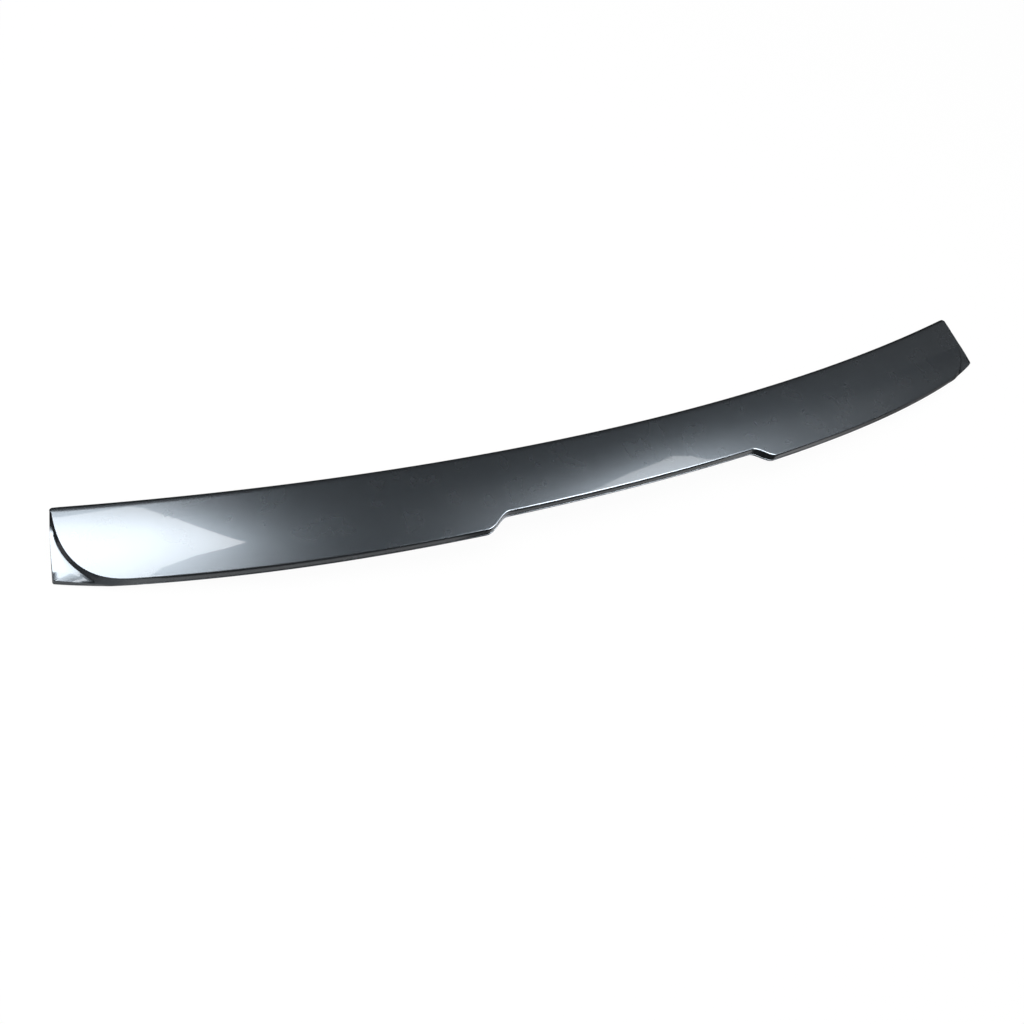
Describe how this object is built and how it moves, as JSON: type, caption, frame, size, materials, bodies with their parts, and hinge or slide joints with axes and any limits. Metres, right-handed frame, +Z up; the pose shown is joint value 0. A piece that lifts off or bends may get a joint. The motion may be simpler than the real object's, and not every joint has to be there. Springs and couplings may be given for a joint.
{
  "type": "car rear spoiler",
  "caption": "Slim bowed rear spoiler for the upper edge of a car's back window, with a shallow notch in its trailing edge and low squared tips.",
  "frame": {"origin": "middle of the bonding land under the leading edge, at the level of the land", "axes": "+X across the car, +Y forward from the trailing edge to the leading edge, +Z up out of the top face"},
  "size_m": [1.1308, 0.1436, 0.0522],
  "materials": {
    "gloss_paint": "graphite metallic paint under gloss clear coat, on moulded plastic"
  },
  "bodies": {
    "root": {"spoiler_blade": "gloss_paint"}
  },
  "joints": []
}
